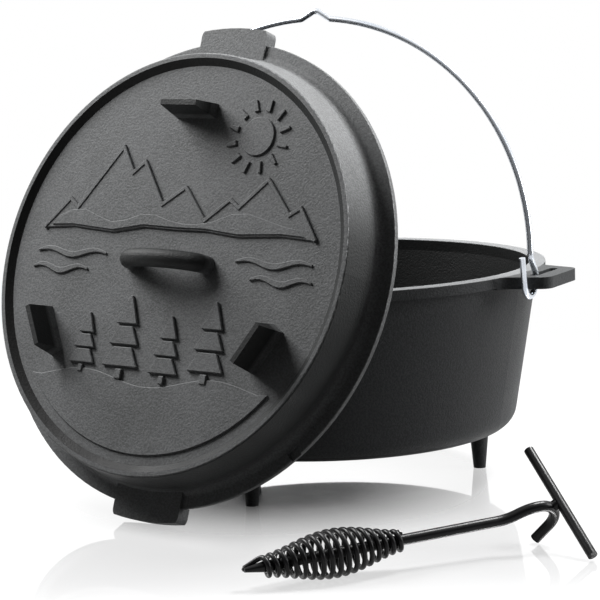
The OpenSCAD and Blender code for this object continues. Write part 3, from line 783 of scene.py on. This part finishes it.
def seen_rays(tree):
    """1 for a ray that shows the background: from the camera, a gloss or through glass."""
    light = put(tree, "ShaderNodeLightPath")
    gloss = put(tree, "ShaderNodeMath", {"operation": "MAXIMUM"},
                links={0: light.outputs["Is Camera Ray"], 1: light.outputs["Is Glossy Ray"]})
    return put(tree, "ShaderNodeMath", {"operation": "MAXIMUM"},
               links={0: gloss.outputs[0], 1: light.outputs["Is Transmission Ray"]}).outputs[0]


def dim_front(tree, ahead, near, far):
    """White for the camera; for a gloss, white behind the object and a dim room on the camera's side."""
    glow = put(tree, "ShaderNodeMapRange", {"interpolation_type": "SMOOTHSTEP"},
               {"From Min": near, "From Max": far, "To Min": FRONT_ROOM, "To Max": 1.0}, {"Value": ahead})
    direct = put(tree, "ShaderNodeLightPath").outputs["Is Camera Ray"]
    return put(tree, "ShaderNodeMath", {"operation": "MAXIMUM"},
               links={0: glow.outputs["Result"], 1: direct}).outputs[0]


def gloss_white_floor(name, white, dark):
    """Sheet of gloss white acrylic.

    The eye sees plain white, a soft shadow, and a clear mirror image that fades away from the object.
    """
    material = bpy.data.materials.new(name)
    tree = empty_tree(material)
    place = put(tree, "ShaderNodeTexCoord").outputs["Object"]
    away = put(tree, "ShaderNodeVectorMath", {"operation": "DISTANCE"}, {1: POOL_MIDDLE},
               {0: place}).outputs["Value"]
    mirror = put(tree, "ShaderNodeMapRange", {"interpolation_type": "SMOOTHSTEP"},
                 {"From Min": MIRROR_FALL[0], "From Max": MIRROR_FALL[1],
                  "To Min": 1.0, "To Max": MIRROR_WEAK}, {"Value": away})
    near = put(tree, "ShaderNodeMapRange", {"interpolation_type": "SMOOTHSTEP"},
               {"From Min": MIRROR_END[0], "From Max": MIRROR_END[1], "To Min": 1.0, "To Max": 0.0},
               {"Value": away})
    ahead = put(tree, "ShaderNodeVectorMath", {"operation": "DOT_PRODUCT"}, {1: CAMERA_AHEAD},
                {0: place}).outputs["Value"]
    front = put(tree, "ShaderNodeMapRange", {"interpolation_type": "SMOOTHSTEP"},
                {"From Min": MIRROR_FRONT[0], "From Max": MIRROR_FRONT[1]}, {"Value": ahead})
    mirror = put(tree, "ShaderNodeMath", {"operation": "MULTIPLY"},
                 links={0: mirror.outputs["Result"], 1: near.outputs["Result"]})
    mirror = put(tree, "ShaderNodeMath", {"operation": "MULTIPLY"},
                 links={0: mirror.outputs[0], 1: front.outputs["Result"]})
    shade = put(tree, "ShaderNodeMapRange", {"interpolation_type": "SMOOTHSTEP"},
                {"From Min": SHADE_END[0], "From Max": SHADE_END[1], "To Min": SHADE, "To Max": 0.0},
                {"Value": away})
    lit = put(tree, "ShaderNodeBsdfDiffuse", values={"Color": white})
    glow = dim_front(tree, ahead, *GLOW_FRONT)
    plain = put(tree, "ShaderNodeEmission", values={"Color": WHITE}, links={"Strength": glow})
    sheet = put(tree, "ShaderNodeMixShader", links={0: shade.outputs["Result"], 1: plain.outputs["Emission"],
                                                    2: lit.outputs["BSDF"]})
    gloss = put(tree, "ShaderNodeBsdfAnisotropic", values={"Color": WHITE, "Roughness": FLOOR_ROUGH})
    shown = put(tree, "ShaderNodeMixShader", links={0: mirror.outputs[0], 1: sheet.outputs["Shader"],
                                                    2: gloss.outputs["BSDF"]})
    # What the sheet throws back on the object is held down, as by black cards round a table
    card = put(tree, "ShaderNodeBsdfDiffuse", values={"Color": dark})
    mixed = put(tree, "ShaderNodeMixShader", links={0: seen_rays(tree), 1: card.outputs["BSDF"],
                                                    2: shown.outputs["Shader"]})
    put(tree, "ShaderNodeOutputMaterial", links={"Surface": mixed.outputs["Shader"]})
    return material


def softbox(name, place, target, wide, tall, power):
    """An area lamp aimed at a point."""
    lamp = bpy.data.lights.new(name, "AREA")
    lamp.shape = "RECTANGLE"
    lamp.size, lamp.size_y, lamp.energy = wide, tall, power
    holder = bpy.data.objects.new(name, lamp)
    holder.location = place
    holder.rotation_euler = (Vector(target) - Vector(place)).to_track_quat("-Z", "Y").to_euler()
    holder.visible_camera = False
    bpy.context.scene.collection.objects.link(holder)


class OVEN_OT_stage(bpy.types.Operator):
    """Set up the white floor, the surround, the soft lamps and the photograph's camera"""

    bl_idname = "oven.stage"
    bl_label = "Stage"

    # Each lamp's name, place, point that it is aimed at, width and height, and power in watts
    LAMPS = (("key_softbox", (-0.93, -0.25, 1.13), (-0.03, -0.15, 0.2), 0.7, 0.7, 34.0),
             ("back_softbox", (0.4, 0.42, 1.15), (0.08, -0.05, 0.2), 0.4, 0.4, 30.0),
             ("side_strip", (1.13, 0.38, 0.5), (0.1, 0.0, 0.15), 0.3, 0.6, 8.0))

    def floor(self, colours):
        """A large round floor sheet just under the feet."""
        bpy.ops.object.select_all(action="DESELECT")
        bpy.ops.mesh.primitive_circle_add(vertices=FLOOR_SIDES, radius=FLOOR_R, fill_type="NGON",
                                          location=(0, 0, -FLOOR_DEPTH))
        sheet = bpy.context.active_object
        sheet.name = "floor_sheet"
        bpy.ops.object.transform_apply(location=True, rotation=True, scale=True)
        acrylic = gloss_white_floor("gloss_white_acrylic_sheet", colours.floor, colours.floor_cards)
        sheet.data.materials.append(acrylic)

    def surround(self, scene):
        """White surround for what the eye sees, and an even soft light for the rest."""
        scene.world = bpy.data.worlds.new("studio")
        scene.world.use_nodes = True
        tree = scene.world.node_tree
        tree.nodes.clear()
        way = put(tree, "ShaderNodeTexCoord").outputs["Generated"]
        sweep = (CAMERA_AHEAD + Vector((0.0, 0.0, 1.0))).normalized()
        back = put(tree, "ShaderNodeVectorMath", {"operation": "DOT_PRODUCT"}, {1: sweep}, {0: way})
        glow = dim_front(tree, back.outputs["Value"], *SWEEP_FRONT)
        white = put(tree, "ShaderNodeBackground", values={"Color": WHITE}, links={"Strength": glow})
        soft = put(tree, "ShaderNodeBackground", values={"Color": WHITE, "Strength": SOFT_LIGHT})
        mixed = put(tree, "ShaderNodeMixShader", links={0: seen_rays(tree), 1: soft.outputs["Background"],
                                                        2: white.outputs["Background"]})
        put(tree, "ShaderNodeOutputWorld", links={"Surface": mixed.outputs["Shader"]})

    def camera(self, scene):
        """The photograph's camera."""
        data = bpy.data.cameras.new("photo_camera")
        data.sensor_width, data.lens = CAMERA_SENSOR, CAMERA_LENS
        data.clip_start, data.clip_end = CAMERA_RANGE
        holder = bpy.data.objects.new("photo_camera", data)
        turn = Matrix((CAMERA_RIGHT, -CAMERA_DOWN, -CAMERA_AHEAD)).transposed().to_4x4()
        holder.matrix_world = Matrix.Translation(CAMERA_PLACE) @ turn
        scene.collection.objects.link(holder)
        scene.camera = holder

    def execute(self, context):
        scene = context.scene
        self.floor(scene.oven_colours)
        self.surround(scene)
        for lamp in self.LAMPS:
            softbox(*lamp)
        self.camera(scene)
        scene.view_settings.view_transform = "Standard"
        return {"FINISHED"}


class OVEN_PT_panel(bpy.types.Panel):
    """Sidebar panel with the oven's pieces, sizes and colours"""

    bl_idname = "OVEN_PT_panel"
    bl_label = "Camp dutch oven"
    bl_space_type = "VIEW_3D"
    bl_region_type = "UI"
    bl_category = "Camp oven"

    def draw(self, context):
        for operator in PIECES:
            self.layout.operator(operator.bl_idname)
        for group in (context.scene.oven_sizes, context.scene.oven_colours):
            column = self.layout.column(align=True)
            for name in group.__annotations__:
                column.prop(group, name)


PIECES = (OVEN_OT_pot, OVEN_OT_lid, OVEN_OT_bail, OVEN_OT_lifter, OVEN_OT_grip, OVEN_OT_relief, OVEN_OT_stage)
CLASSES = (OvenSizes, OvenColours) + PIECES + (OVEN_PT_panel,)


def register():
    for made in CLASSES:
        bpy.utils.register_class(made)
    bpy.types.Scene.oven_sizes = bpy.props.PointerProperty(type=OvenSizes)
    bpy.types.Scene.oven_colours = bpy.props.PointerProperty(type=OvenColours)


def unregister():
    del bpy.types.Scene.oven_colours
    del bpy.types.Scene.oven_sizes
    for made in reversed(CLASSES):
        bpy.utils.unregister_class(made)


def main():
    register()
    bpy.ops.oven.pot()
    bpy.ops.oven.lid()
    bpy.ops.oven.bail()
    bpy.ops.oven.lifter()
    bpy.ops.oven.grip()
    bpy.ops.oven.relief()
    bpy.ops.oven.stage()


if __name__ == "__main__":
    main()
